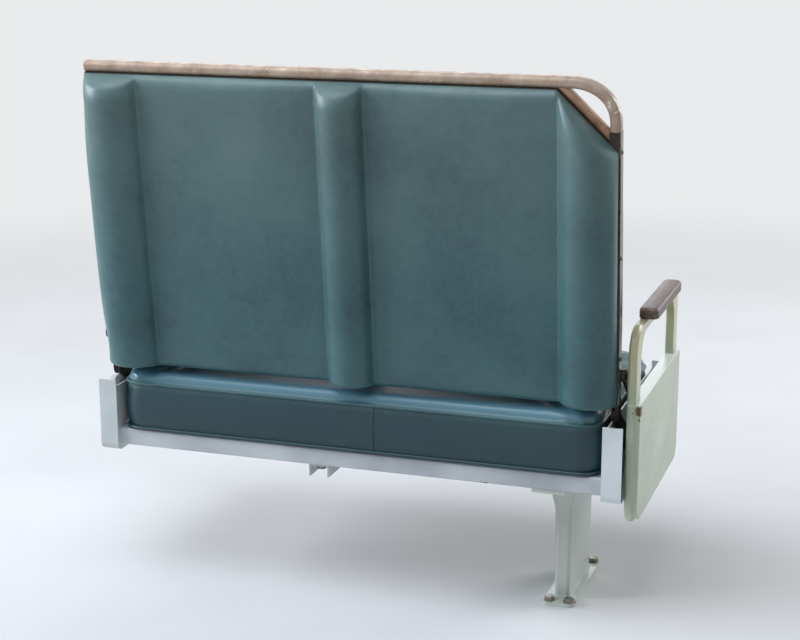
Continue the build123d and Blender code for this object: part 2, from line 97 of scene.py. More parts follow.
def stoved_enamel(name, colour, shade, rust_at, rust_reach, handled=0.0):
    """Stoving enamel on sheet steel: half gloss with an orange-peel skin of about 3 mm, yellowed in patches of
    about 120 mm. Where handled is above 0 it turns khaki from 0.44 m up, and a thin band on the ledge's top at
    0.443 m is painted pale, a painted highlight. Chipped to rust within rust_reach of rust_at."""
    material, tree, shader, place = new_material(
        name, [("IOR", 1.5), ("Coat Weight", 0.2), ("Coat Roughness", 0.2)]
    )
    patches = add(tree, "TexNoise", [("Scale", 8.0), ("Detail", 4.0)], [("Vector", place)])
    tint = add(tree, "ValToRGB", links=[("Fac", patches)], stops=[
        (0.32, linear(shade)), (0.66, linear(colour))])
    if handled:
        parts = add(tree, "SeparateXYZ", links=[("Vector", place)])
        z = parts.outputs["Z"]
        # From 0.44 m up the enamel is mixed towards khaki d3c894, by as much as handled.
        high = add(tree, "MapRange", [("From Min", 0.44), ("From Max", 0.5), ("To Max", handled)],
                   [("Value", z)])
        tint = add(tree, "MixRGB", [("Color2", linear("d3c894"))], [("Fac", high), ("Color1", tint)])
        # Painted highlight: a thin band on the ledge's top face, 0.4424 to 0.444 m, is mixed pale ecefe6.
        above = add(tree, "MapRange", [("From Min", 0.4424), ("From Max", 0.4428)], [("Value", z)])
        below = add(tree, "MapRange", [
            ("From Min", 0.4436), ("From Max", 0.444), ("To Min", 1.0), ("To Max", 0.0)], [("Value", z)])
        ledge = add(tree, "Math", links=[(0, above), (1, below)], operation="MULTIPLY")
        tint = add(tree, "MixRGB", [("Color2", linear("ecefe6"))], [("Fac", ledge), ("Color1", tint)])
    chips = add(tree, "TexNoise", [("Scale", 120.0), ("Detail", 6.0), ("Roughness", 0.6)], [("Vector", place)])
    away = add(tree, "VectorMath", [(1, rust_at)], [(0, place)], operation="DISTANCE")
    near = add(tree, "MapRange", [("From Max", rust_reach), ("To Min", 0.45), ("To Max", 0.0)],
               [("Value", away.outputs["Value"])])
    worn = add(tree, "Math", links=[(0, chips), (1, near)], operation="ADD")
    chipped = add(tree, "ValToRGB", links=[("Fac", worn)], stops=[(0.75, grey(0.0)), (0.775, grey(1.0))])
    coloured = add(tree, "MixRGB", [("Color2", linear("64492f"))], [("Fac", chipped), ("Color1", tint)])
    rough = add(tree, "ValToRGB", links=[("Fac", worn)], stops=[
        (0.4, grey(0.32)), (0.76, grey(0.44)), (0.78, grey(0.85))])
    peel = add(tree, "TexNoise", [("Scale", 330.0), ("Detail", 2.0)], [("Vector", place)])
    height = add(tree, "Math", [(1, -0.25)], [(0, chipped), (2, peel)], operation="MULTIPLY_ADD")
    bump = add(tree, "Bump", [("Strength", 0.12), ("Distance", 0.0012)], [("Height", height)])
    feed(tree, shader, [("Base Color", coloured), ("Roughness", rough), ("Normal", bump)])
    return material


def finish_nodes(material, *names):
    """Gives CAD nodes a finish in the slot that they already have."""
    for name in names:
        slots = nodes[name].data.materials
        if len(slots):
            slots[0] = material
        else:
            slots.append(material)


def node_box(name):
    """Lowest and highest corners of a CAD node at rest, in mm."""
    return tuple(np.array(corner) * 1000 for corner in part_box(name))


# Painted light: the pedestal's copy of the cream enamel, d3d9d2, is written whiter and bluer than the aisle
# end's, as if lit by cool sky light.
pedestal_enamel = stoved_enamel("cream_enamel_pedestal", "d3d9d2", "bfc7bd", (0.02, -0.1, 0.006), 0.02)
finish_nodes(pedestal_enamel, "pedestal_foot", "pedestal_column", "pedestal_bearer")


def put_mesh(name, points, faces, material, body, smooth=True):
    """A mesh object from points in mm and faces of any length, riding on a body."""
    mesh = bpy.data.meshes.new(name)
    mesh.from_pydata((np.asarray(points) * 0.001).tolist(), [], faces)
    mesh.update()
    mesh.polygons.foreach_set("use_smooth", [smooth] * len(mesh.polygons))
    mesh.materials.append(material)
    piece = bpy.data.objects.new(name, mesh)
    bpy.context.scene.collection.objects.link(piece)
    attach(piece, body)
    return piece


def wrap_faces(rows, ring, first=0, shut_rows=False):
    """Quads of a grid of rows by ring points, closed round the ring and, if shut_rows, from the last
    row to the first."""
    last = rows if shut_rows else rows - 1
    r, c = np.meshgrid(np.arange(last), np.arange(ring), indexing="ij")
    here, over = r * ring + c, r * ring + (c + 1) % ring
    up = ((r + 1) % rows) * ring
    quads = np.stack([here, over, up + (c + 1) % ring, up + c], axis=-1).reshape(-1, 4) + first
    return quads.tolist()


def lathe_points(profile, at, axis, sides=36):
    """Turns a profile about an axis: point = at + height * axis + radius * (cos a, sin a). A row
    marked hex follows a hexagon: its reach is radius / cos(a folded into 60 degrees)."""
    axis = np.asarray(axis, float) / np.linalg.norm(axis)
    helper = np.array([1.0, 0, 0]) if abs(axis[0]) < 0.9 else np.array([0, 1.0, 0])
    u = np.cross(axis, helper)
    u /= np.linalg.norm(u)
    v = np.cross(axis, u)
    a = np.arange(sides) * 2 * np.pi / sides
    folded = (a + np.pi / 6) % (np.pi / 3) - np.pi / 6
    radius, height, is_hex = (np.array(column, float)[:, None] for column in zip(*profile))
    reach = np.where(is_hex > 0, radius / np.cos(folded), radius)
    rows = np.asarray(at, float) + height[..., None] * axis
    rows = rows + (reach * np.cos(a))[..., None] * u + (reach * np.sin(a))[..., None] * v
    return rows.reshape(-1, 3)


def turned(name, groups, material, body):
    """Several turned things of one kind as a single mesh. Each group is (profile, place, axis), and
    its first and last rows, of very small radius, are closed by one face each."""
    points, faces, first = [], [], 0
    for profile, at, axis in groups:
        ring = lathe_points(profile, at, axis)
        faces += wrap_faces(len(profile), 36, first)
        faces.append(list(range(first, first + 36))[::-1])
        faces.append(list(range(first + len(ring) - 36, first + len(ring))))
        points.append(ring)
        first += len(ring)
    piece = put_mesh(name, np.concatenate(points), faces, material, body)
    piece.data.set_sharp_from_angle(angle=math.radians(35))
    return piece


def oiled_steel(name, colour, roughness):
    """Machined or rolled steel, dark with old oil: blotches of about 6 mm and a dull metal shine."""
    material, tree, shader, place = new_material(name, [("Metallic", 0.85)])
    blotch = add(tree, "TexNoise", [("Scale", 160.0), ("Detail", 5.0)], [("Vector", place)])
    pale = tuple(min(1.0, c * 2.1) for c in linear(colour)[:3]) + (1.0,)
    tint = add(tree, "ValToRGB", links=[("Fac", blotch)], stops=[(0.3, linear(colour)), (0.75, pale)])
    rough = add(tree, "ValToRGB", links=[("Fac", blotch)], stops=[
        (0.3, grey(roughness)), (0.8, grey(roughness - 0.18))])
    bump = add(tree, "Bump", [("Strength", 0.15), ("Distance", 0.0006)], [("Height", blotch)])
    feed(tree, shader, [("Base Color", tint), ("Roughness", rough), ("Normal", bump)])
    return material


# A hex bolt head on its washer, each row: radius, height, follows the hexagon
hex_bolt = [(0.4, 0.2, 0), (11.0, 0.2, 0), (11.5, 0.7, 0), (11.5, 1.6, 0), (11.0, 2.1, 0), (9.0, 2.2, 0),
            (8.5, 2.3, 1), (8.5, 7.2, 1), (7.9, 8.2, 1), (6.4, 8.6, 0), (0.4, 8.6, 0)]
bolt_steel = oiled_steel("zinc_bolt_steel", "6d6a62", 0.5)
foot_top = node_box("pedestal_foot")[1][2]
bolt_x, bolt_y = 19, 111
foot_bolts = [(hex_bolt, (x, y, foot_top), (0, 0, 1)) for x in (-bolt_x, bolt_x) for y in (-bolt_y, bolt_y)]
turned("foot_bolts", foot_bolts, bolt_steel, "base")


def sweep(name, path, section, normal, closed, material, body):
    """Carries a closed section (across, along normal) down a flat path, mm: point = path +
    across * (tangent x normal) + along * normal. An open path is closed by an end face."""
    path, section = np.asarray(path, float), np.asarray(section, float)
    if closed:
        step = np.roll(path, -1, 0) - np.roll(path, 1, 0)
    else:
        step = np.gradient(path, axis=0)
    step /= np.linalg.norm(step, axis=1)[:, None]
    across = np.cross(step, normal)
    across /= np.linalg.norm(across, axis=1)[:, None]
    if section.ndim == 2:
        section = np.broadcast_to(section, (len(path),) + section.shape)
    points = path[:, None] + section[..., :1] * across[:, None] + section[..., 1:] * np.asarray(normal, float)
    faces = wrap_faces(len(path), section.shape[1], 0, closed)
    if not closed:
        ring = section.shape[1]
        faces.append(list(range(ring))[::-1])
        faces.append(list(range((len(path) - 1) * ring, len(path) * ring)))
    return put_mesh(name, points.reshape(-1, 3), faces, material, body)


def rounded_loop(half_x, half_y, radius, count, centre=(0.0, 0.0)):
    """Evenly spaced points round a rounded rectangle, anticlockwise from the middle of its +x side:
    each point is a corner's centre plus radius * (cos a, sin a), with straight runs between."""
    straight_x, straight_y, arc = half_x - radius, half_y - radius, math.pi / 2 * radius
    runs = [0, straight_y, arc, 2 * straight_x, arc, 2 * straight_y, arc, 2 * straight_x, arc, straight_y]
    marks = np.cumsum(runs)
    corners_x = np.array([1, 1, 1, -1, -1, -1, -1, 1, 1, 1]) * straight_x
    corners_y = np.array([0, 1, 1, 1, 1, -1, -1, -1, -1, 0]) * straight_y
    turns = np.array([0, 0, 1, 1, 2, 2, 3, 3, 4, 4]) * math.pi / 2
    s = np.arange(count) * marks[-1] / count
    a = np.interp(s, marks, turns)
    x = np.interp(s, marks, corners_x) + radius * np.cos(a)
    y = np.interp(s, marks, corners_y) + radius * np.sin(a)
    return np.stack([x + centre[0], y + centre[1]], axis=1)


def circle(radius, count=12):
    """Points round a circle, clockwise, so that a swept section's faces point outwards."""
    a = -np.arange(count) * 2 * np.pi / count
    return np.stack([radius * np.cos(a), radius * np.sin(a)], axis=1)


# Weld beads round the column's foot and head, their width rippling every 7 mm
bead_points, bead_corner, bead_radius, bead_ripple = 400, 8.6, 2.2, 0.35
for bead_name, half_x, half_y, bead_z in (("foot_weld", 15.6, 90.6, 7.6), ("head_weld", 30.2, 100.2, 244.2)):
    bead = rounded_loop(half_x, half_y, bead_corner, bead_points)
    ripple = bead_radius + bead_ripple * np.sin(np.arange(bead_points) * np.pi / 2)
    bead = np.column_stack([bead, np.full(bead_points, bead_z)])
    sweep(bead_name, bead, circle(1.0)[None] * ripple[:, None, None],
          (0, 0, 1), True, pedestal_enamel, "base")


# Under-frame. Two pressed channel rails, a cross tie, the trough housings for the arms and the plate that bolts
# to the coach side, in the cream enamel. Its copies differ in colour: the aisle housing's is whiter and bluer,
# a painted cool light, and the wall end's and the rails' are greyer.
wall_enamel = stoved_enamel("cream_enamel_wall_end", "ccd3d2", "bcc4c3", (-0.9, -0.2, 0.262), 0.03)
finish_nodes(wall_enamel, "wall_housing", "wall_plate")
# Painted light: the aisle housing's copy, e2e8ea, is the whitest and bluest of the cream enamels, standing for
# cool sky light on its faces.
housing_enamel = stoved_enamel("cream_enamel_aisle_housing", "e2e8ea", "d3dbdd", (0.12, 0.2, 0.262), 0.02)
finish_nodes(housing_enamel, "aisle_housing")
rail_enamel = stoved_enamel("grimed_enamel_rails", "c9cfd0", "abb0b6", (-0.12, -0.232, 0.272), 0.014)
finish_nodes(rail_enamel, "front_rail", "rear_rail", "cross_tie")
tie_low, tie_high = node_box("cross_tie")
tie_x, tie_thickness, rail_y = (tie_low[0] + tie_high[0]) / 2, 3, 213
tie_bolts = [(hex_bolt, (tie_x, y, tie_high[2] - tie_thickness), (0, 0, -1)) for y in (-rail_y, rail_y)]
turned("frame_bolts", tie_bolts, bolt_steel, "base")
plate_low = node_box("wall_plate")[0]
plate_thickness, plate_bolt_y = 10, 150
wall_bolts = [(hex_bolt, (plate_low[0] + plate_thickness, y, z), (1, 0, 0))
              for y in (-plate_bolt_y, plate_bolt_y) for z in (290, 370)]
turned("wall_bolts", wall_bolts, bolt_steel, "base")


# Walkover arms. The bare steel shaft, main arms and guide arms with their pins, greased at the
# pivots, and the rubber stops that the arms come down on.
arm_steel = oiled_steel("rolled_arm_steel", "2b2622", 0.55)
finish_nodes(arm_steel, "torsion_shaft", "aisle_main_arm", "wall_main_arm", "aisle_guide_arm", "wall_guide_arm",
             "aisle_lug", "wall_lug", "aisle_back_pin", "wall_back_pin")


def moulded_rubber(name):
    """Moulded black rubber: matt, a little bloomed to grey in blotches of about 10 mm."""
    material, tree, shader, place = new_material(name, [("IOR", 1.5), ("Roughness", 0.75)])
    bloom = add(tree, "TexNoise", [("Scale", 90.0), ("Detail", 4.0)], [("Vector", place)])
    tint = add(tree, "ValToRGB", links=[("Fac", bloom)], stops=[
        (0.35, linear("121212")), (0.75, linear("2a2a29"))])
    feed(tree, shader, [("Base Color", tint)])
    return material


finish_nodes(moulded_rubber("moulded_black_rubber"), "aisle_stops", "wall_stops")


# Aisle end. A cast loop with a pressed tray over its lower half. The tray's top edge is turned in as a ledge,
# rusty under its near end where water stands. Its top face carries a painted highlight, and the uprights turn
# khaki from 0.44 m up.
# Painted shade: the aisle end's copy, c4cfb6, is greener and darker than the housing's, standing for the shade
# on its aisle face.
end_enamel = stoved_enamel("cream_enamel_aisle_end", "c4cfb6", "b2bea3", (0.163, -0.204, 0.431), 0.024, 0.65)
finish_nodes(end_enamel, "arm_frame", "aisle_panel")


# Arm pad. A moulded phenolic rest, screwed down on the frame, its brown worn through in
# mottled patches, with round ends and a crowned top.
def cushion_grid(loop, half_run, rows):
    """Closed skin from a loop and rows of (k, z): each row is the loop drawn towards a middle
    segment of the given half length, point = c + k * (loop - c), where c is the nearest place on it."""
    middle = (loop.max(axis=0) + loop.min(axis=0)) / 2
    run_axis = 0 if np.ptp(loop[:, 0]) > np.ptp(loop[:, 1]) else 1
    c = np.tile(middle, (len(loop), 1))
    c[:, run_axis] = middle[run_axis] + np.clip(loop[:, run_axis] - middle[run_axis], -half_run, half_run)
    k = np.array([r[0] for r in rows])[:, None, None]
    flat = c[None] + k * (loop[None] - c[None])
    z = np.broadcast_to(np.array([r[1] for r in rows])[:, None, None], flat.shape[:2] + (1,))
    return np.concatenate([flat, z], axis=2)


def skin(name, grid, material, body):
    """Closed mesh of a grid of rows round a ring. The first and last rows lie folded on a segment, so
    that their points meet in pairs and are merged."""
    rows, ring = grid.shape[:2]
    piece = put_mesh(name, grid.reshape(-1, 3), wrap_faces(rows, ring), material, body)
    work = bmesh.new()
    work.from_mesh(piece.data)
    bmesh.ops.remove_doubles(work, verts=work.verts, dist=0.00002)
    bmesh.ops.dissolve_degenerate(work, edges=work.edges, dist=0.00001)
    bmesh.ops.recalc_face_normals(work, faces=work.faces)
    work.to_mesh(piece.data)
    work.free()
    piece.data.polygons.foreach_set("use_smooth", [True] * len(piece.data.polygons))
    return piece


def phenolic(name):
    """Moulded phenolic: dark brown with worn, paler flecks of 4 to 12 mm, and glossier where darker."""
    material, tree, shader, place = new_material(
        name, [("IOR", 1.6), ("Coat Weight", 0.1), ("Coat Roughness", 0.35)]
    )
    fleck = add(tree, "TexNoise", [("Scale", 110.0), ("Detail", 5.0), ("Roughness", 0.65)], [("Vector", place)])
    broad = add(tree, "TexNoise", [("Scale", 26.0), ("Detail", 2.0)], [("Vector", place)])
    both = add(tree, "Math", [(1, 0.45)], [(0, broad), (2, fleck)], operation="MULTIPLY_ADD")
    tint = add(tree, "ValToRGB", links=[("Fac", both)], stops=[
        (0.56, linear("33241f")), (0.7, linear("4f3b34")), (0.8, linear("6c564d")), (0.92, linear("98807a"))])
    rough = add(tree, "ValToRGB", links=[("Fac", both)], stops=[(0.5, grey(0.36)), (0.9, grey(0.62))])
    bump = add(tree, "Bump", [("Strength", 0.25), ("Distance", 0.0008)], [("Height", both)])
    feed(tree, shader, [("Base Color", tint), ("Roughness", rough), ("Normal", bump)])
    return material


pad_low, pad_high = node_box("arm_pad")
pad_half = (pad_high - pad_low) / 2
pad_corner, pad_points, pad_round_end = 14.0, 220, 24
pad_loop = rounded_loop(pad_half[0], pad_half[1], pad_corner, pad_points, ((pad_low + pad_high)[0] / 2, 0.0))
quarter = np.linspace(0, np.pi / 2, 9)
pad_base, pad_crown = pad_low[2] + 0.2, 7.5
pad_shoulder = pad_high[2] - pad_crown
pad_rows = [(k, pad_base) for k in (0.0, 0.5, 0.93)] + [(0.985, pad_base + 0.7), (1.0, pad_base + 2.5)]
pad_rows += [(1.0, z) for z in np.linspace(pad_base + 5, pad_shoulder, 4)]
pad_rows += [(1.0 - 0.4 * (1 - math.cos(a)), pad_shoulder + (pad_crown - 1.2) * math.sin(a))
             for a in quarter[1:]]
pad_rows += [(0.4, pad_high[2] - 0.6), (0.2, pad_high[2] - 0.2), (0.0, pad_high[2])]
pad_grid = cushion_grid(pad_loop, pad_half[1] - pad_round_end, pad_rows)
arm_pad = skin("moulded_arm_pad", pad_grid, phenolic("moulded_phenolic"), "base")
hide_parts("arm_pad")


# Seat cushion. A spring case in a green vinyl cover: a crowned top that rolls over to a piped
# seam, and a boxing band that bulges between that and the seam at the pressed pan.
def green_vinyl(name):
    """Vinyl-coated cloth: deep green, half gloss, calendered with a leather grain of about 1.5 mm (drawn at 2.5
    mm, as coarse as the picture can show). Above 0.6 m it is mixed towards grey, a painted reflection of a pale
    ceiling. The roll along the seat's edges is painted paler and bluer, a painted sky reflection, and is made
    smoother. The boxing below is darkened, a painted shade."""
    material, tree, shader, place = new_material(
        name, [("IOR", 1.5), ("Specular IOR Level", 0.42), ("Coat Weight", 0.22), ("Coat Roughness", 0.26)]
    )
    broad = add(tree, "TexNoise", [("Scale", 5.0), ("Detail", 5.0), ("Roughness", 0.55)], [("Vector", place)])
    fine = add(tree, "TexNoise", [("Scale", 70.0), ("Detail", 4.0)], [("Vector", place)])
    mixed = add(tree, "Math", [(1, 0.3)], [(0, fine), (2, broad)], operation="MULTIPLY_ADD")
    tint = add(tree, "ValToRGB", links=[("Fac", mixed)], stops=[
        (0.44, linear("2c5054")), (0.66, linear("386063")), (0.88, linear("426a6a"))])
    parts = add(tree, "SeparateXYZ", links=[("Vector", place)])
    z = parts.outputs["Z"]
    # Painted reflection: from 0.6 m up the green is mixed towards grey 667b76, standing for a pale ceiling
    # reflected in the upper back.
    high = add(tree, "MapRange", [("From Min", 0.6), ("From Max", 1.02), ("To Max", 0.9)], [("Value", z)])
    painted_top_reflection = add(tree, "Math", links=[(0, high), (1, mixed)], operation="MULTIPLY", use_clamp=True)
    tint = add(tree, "MixRGB", [("Color2", linear("667b76"))], [("Fac", painted_top_reflection), ("Color1", tint)])
    # Painted shade: below 0.405 m the boxing is mixed towards a darker 12333a, standing for the shade low on
    # the boxing.
    deep = add(tree, "MapRange", [("From Min", 0.39), ("From Max", 0.405), ("To Min", 0.85), ("To Max", 0.0)],
               [("Value", z)])
    tint = add(tree, "MixRGB", [("Color2", linear("12333a"))], [("Fac", deep), ("Color1", tint)])
    # Painted reflection: the roll along the front and rear edges, 0.404 to 0.44 m, is mixed towards a paler
    # blue 6692a6 for a sky reflection, and made smoother.
    rising = add(tree, "MapRange", [("From Min", 0.404), ("From Max", 0.413)], [("Value", z)])
    falling = add(tree, "MapRange", [("From Min", 0.437), ("From Max", 0.44), ("To Min", 0.6), ("To Max", 0.0)],
                  [("Value", z)])
    sideways = add(tree, "Math", links=[(0, parts.outputs["Y"])], operation="ABSOLUTE")
    at_edge = add(tree, "MapRange", [("From Min", 0.172), ("From Max", 0.205)], [("Value", sideways)])
    roll = add(tree, "Math", links=[(0, rising), (1, falling)], operation="MULTIPLY")
    rubbed = add(tree, "Math", links=[(0, roll), (1, at_edge)], operation="MULTIPLY")
    tint = add(tree, "MixRGB", [("Color2", linear("6692a6"))], [("Fac", rubbed), ("Color1", tint)])
    rough = add(tree, "ValToRGB", links=[("Fac", mixed)], stops=[(0.4, grey(0.5)), (0.9, grey(0.38))])
    rough = add(tree, "Math", [(1, -0.2)], [(0, rubbed), (2, rough)], operation="MULTIPLY_ADD")
    grain = add(tree, "TexVoronoi", [("Scale", 400.0)], [("Vector", place)], feature="F1")
    height = add(tree, "Math", [(1, 0.5)], [(0, grain), (2, fine)], operation="MULTIPLY_ADD")
    bump = add(tree, "Bump", [("Strength", 0.16), ("Distance", 0.0012)], [("Height", height)])
    feed(tree, shader, [("Base Color", tint), ("Roughness", rough), ("Normal", bump)])
    return material


vinyl = green_vinyl("calendered_green_vinyl")
finish_nodes(oiled_steel("primed_pan_steel", "4b4d49", 0.6), "cushion_pan")


def swell(piece, pinned, pressure, cap, low=-np.inf, high=np.inf):
    """Blows a closed skin up like a stuffed cover: cloth with inside pressure and no gravity, held at
    the pinned points. A point moves by cap * tanh(its movement / cap), in mm, and stays between low
    and high, the corners of the room that its neighbours leave it."""
    mesh = piece.data
    rest = np.zeros(len(mesh.vertices) * 3)
    mesh.vertices.foreach_get("co", rest)
    rest = rest.reshape(-1, 3) * 1000
    held = pinned(rest)
    group = piece.vertex_groups.new(name="seams")
    for weight in (0.0, 1.0):
        group.add(np.nonzero(held == bool(weight))[0].tolist(), weight, "REPLACE")
    modifier = piece.modifiers.new("stuffing", "CLOTH")
    cloth = modifier.settings
    cloth.quality = 5
    cloth.mass = 0.3
    cloth.tension_stiffness = cloth.compression_stiffness = 18
    cloth.shear_stiffness = 6
    cloth.bending_stiffness = 0.6
    cloth.use_pressure = True
    cloth.uniform_pressure_force = pressure
    cloth.effector_weights.gravity = 0.0
    cloth.vertex_group_mass = "seams"
    modifier.collision_settings.use_collision = False
    scene = bpy.context.scene
    for number in range(1, 21):
        scene.frame_set(number)
    done = piece.evaluated_get(bpy.context.evaluated_depsgraph_get())
    moved = np.zeros(len(done.data.vertices) * 3)
    done.data.vertices.foreach_get("co", moved)
    moved = moved.reshape(-1, 3) * 1000 - rest
    piece.modifiers.remove(modifier)
    piece.vertex_groups.clear()
    scene.frame_set(1)
    length = np.linalg.norm(moved, axis=1)[:, None]
    moved *= cap * np.tanh(length / cap) / np.maximum(length, 1e-6)
    mesh.vertices.foreach_set("co", (np.clip(rest + moved, low, high) / 1000).ravel())
    mesh.update()
    print(piece.name, "swelled by up to", round(float(length.max()), 1), "mm")


def soften(piece):
    """One level of subdivision, the same in the view and in the render."""
    level = piece.modifiers.new("smooth", "SUBSURF")
    level.levels = level.render_levels = 1


seat_low, seat_high = node_box("seat_cushion")
seat_half, seat_mid = (seat_high - seat_low) / 2, (seat_high + seat_low) / 2
seat_corner, deep = 48.0, seat_half[1]
seat_loop = rounded_loop(seat_half[0], deep, seat_corner, 360, (seat_mid[0], 0.0))
lower_seam, upper_seam, roll_z = 312.5, 402.5, 412.5
across = np.linspace(0, 1, 14)
over = np.radians(np.linspace(-25, 90, 13))
seat_rows = [(k, 318.8) for k in (0.0, 0.3, 0.6, 0.85, 0.914)]
seat_rows += [(1 - inset / deep, z) for inset, z in ((17.0, 309.0), (11.0, 308.5), (7.5, 309.5))]
band = upper_seam - 1.5 - lower_seam
seat_rows += [(1 - (7.0 - 5.5 * math.sin(math.pi * s) ** 0.8) / deep, lower_seam + band * s) for s in across]
roll_inset, roll_radius = 22.0, 17.0
seat_rows += [(1 - (roll_inset - roll_radius * math.cos(a)) / deep, roll_z + roll_radius * math.sin(a))
              for a in over]
seat_rows += [(k, 429.5 + 5.0 * math.cos(k / 0.909 * math.pi / 2) ** 0.8) for k in np.linspace(0.88, 0.0, 24)]
seat_grid = cushion_grid(seat_loop, seat_half[0] - deep, seat_rows)
seat = skin("seat_cushion_cover", seat_grid, vinyl, "base")
# The boxing's upright seams stand at the point of the loop that is nearest to the centre bolster's flank
bolster_flank = -336.0
boxing_seam = seat_loop[np.argmin(abs(seat_loop[:, 0] - bolster_flank) + (seat_loop[:, 1] > 0) * 1e3), 0]


def seat_seams(p):
    """Held: the underside, the seams along the boxing, and the upright seams across it front and rear."""
    inset = np.minimum(seat_half[0] - abs(p[:, 0] - seat_mid[0]), deep - abs(p[:, 1]))
    upright = (abs(p[:, 0] - boxing_seam) < 2.0) & (inset < 9) & (p[:, 2] < upper_seam)
    return (p[:, 2] < lower_seam + 1) | ((abs(p[:, 2] - upper_seam) < 3.2) & (inset < 40)) | upright


# The cover may reach 3 mm past the cushion's box at the front and rear, and 7 mm over its top
room, over_top = np.array([0.2, -3.0, 0.0]), np.array([0.0, 0.0, 7.0])
swell(seat, seat_seams, 4.0, 9.0, seat_low + room, seat_high - room + over_top)
soften(seat)
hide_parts("seat_cushion")
piping_points, piping_radius, welt_radius = 400, 3.2, 1.6
pipings = (("top_piping", upper_seam + 0.5, 6.4), ("lower_piping", lower_seam - 0.5, 6.0))
for piping_name, z, drawn_in in pipings:
    line = rounded_loop(seat_half[0] - drawn_in, deep - drawn_in, seat_corner - drawn_in, piping_points,
                        (seat_mid[0], 0.0))
    line = np.column_stack([line, np.full(piping_points, z)])
    sweep(piping_name, line, circle(piping_radius), (0, 0, 1), True, vinyl, "base")

# The boxing's two upright seams are flat-felled: a welt 3 mm wide lies along the cover there
cover_points = np.array([vertex.co for vertex in seat.data.vertices]) * 1000
for face_name, toward in (("rear", -1), ("front", 1)):
    on_seam = (abs(cover_points[:, 0] - boxing_seam) < 2.0) & (cover_points[:, 1] * toward > deep - 12)
    on_seam &= (cover_points[:, 2] > lower_seam - 1) & (cover_points[:, 2] < upper_seam)
    welt = cover_points[on_seam]
    welt = welt[np.argsort(welt[:, 2])]
    welt[:, 0] = boxing_seam
    sweep(face_name + "_boxing_welt", welt, circle(welt_radius), (1, 0, 0), False, vinyl, "base")


# Frame of the back. A board between black steel stiles, an oval tube bent round the corner with a
# hand grip across it, its tan lacquer rubbed to bare metal, and a dulled bright strip.
lean = math.radians(6.5)
edge_y, edge_z = -198.081, 439.164


def on_back(x, up, out):
    """A place on the leaning back, mm: x across, up the lean from the lower edge, out from its
    middle plane."""
    y = edge_y - up * math.sin(lean) + out * math.cos(lean)
    z = edge_z + up * math.cos(lean) + out * math.sin(lean)
    return np.stack(np.broadcast_arrays(x, y, z), axis=-1)


def worn_lacquer(name, dark, body_colour, bare, spot_at, spot_reach, spot_colour):
    """Tan lacquer on steel, handled for decades: patches of 5 to 30 mm rubbed to pale metal, and small
    chips of another colour round one spot, where luggage knocks it."""
    material, tree, shader, place = new_material(name, [("IOR", 1.5)])
    rub = add(tree, "TexNoise", [("Scale", 34.0), ("Detail", 6.0), ("Roughness", 0.6)], [("Vector", place)])
    tint = add(tree, "ValToRGB", links=[("Fac", rub)], stops=[
        (0.3, linear(dark)), (0.5, linear(body_colour)), (0.74, linear(bare))])
    away = add(tree, "VectorMath", [(1, spot_at)], [(0, place)], operation="DISTANCE")
    near = add(tree, "MapRange", [("From Max", spot_reach), ("To Min", 0.3), ("To Max", 0.0)],
               [("Value", away.outputs["Value"])])
    speck = add(tree, "TexNoise", [("Scale", 110.0), ("Detail", 4.0)], [("Vector", place)])
    worn = add(tree, "Math", links=[(0, speck), (1, near)], operation="ADD")
    chip = add(tree, "ValToRGB", links=[("Fac", worn)], stops=[(0.7, grey(0.0)), (0.74, grey(1.0))])
    mixed = add(tree, "MixRGB", [("Color2", linear(spot_colour))], [("Fac", chip), ("Color1", tint)])
    metal = add(tree, "ValToRGB", links=[("Fac", rub)], stops=[(0.55, grey(0.05)), (0.8, grey(0.35))])
    rough = add(tree, "ValToRGB", links=[("Fac", rub)], stops=[(0.35, grey(0.5)), (0.7, grey(0.32))])
    bump = add(tree, "Bump", [("Strength", 0.2), ("Distance", 0.0008)], [("Height", worn)])
    feed(tree, shader, [("Base Color", mixed), ("Metallic", metal), ("Roughness", rough), ("Normal", bump)])
    return material


def dull_chrome(name):
    """Rolled bright strip gone dull: dark mirror with lengthwise scuffs about 1 mm wide and 60 mm long."""
    material, tree, shader, place = new_material(name, [("Metallic", 1.0)])
    longer = add(tree, "Mapping", [("Rotation", (-lean, 0, 0)), ("Scale", (900.0, 900.0, 16.0))],
                 [("Vector", place)])
    scuff = add(tree, "TexNoise", [("Scale", 1.0), ("Detail", 3.0)], [("Vector", longer)])
    tint = add(tree, "ValToRGB", links=[("Fac", scuff)], stops=[
        (0.3, linear("4d4b4a")), (0.7, linear("85837f"))])
    rough = add(tree, "ValToRGB", links=[("Fac", scuff)], stops=[(0.3, grey(0.22)), (0.7, grey(0.42))])
    feed(tree, shader, [("Base Color", tint), ("Roughness", rough)])
    return material


def thin_enamel(name, colour, worn):
    """Thin dark enamel on the hidden steel of the back, worn or dusty in patches of about 50 mm."""
    material, tree, shader, place = new_material(name, [("IOR", 1.5), ("Roughness", 0.5)])
    dust = add(tree, "TexNoise", [("Scale", 20.0), ("Detail", 5.0)], [("Vector", place)])
    tint = add(tree, "ValToRGB", links=[("Fac", dust)], stops=[(0.4, linear(colour)), (0.8, linear(worn))])
    feed(tree, shader, [("Base Color", tint)])
    return material


def plywood_painted_shadow(name):
    """Plywood drawn nearly black, a painted shadow standing for the dark line of shade under the top rail: a
    grain of about 2 mm along the board, unpolished.
    """
    material, tree, shader, place = new_material(name, [("IOR", 1.5), ("Roughness", 0.7)])
    along = add(tree, "Mapping", [("Scale", (12.0, 300.0, 300.0))], [("Vector", place)])
    grain = add(tree, "TexNoise", [("Scale", 1.5), ("Detail", 6.0)], [("Vector", along)])
    tint = add(tree, "ValToRGB", links=[("Fac", grain)], stops=[
        (0.3, linear("1f1a15")), (0.7, linear("3a3027"))])
    feed(tree, shader, [("Base Color", tint)])
    return material


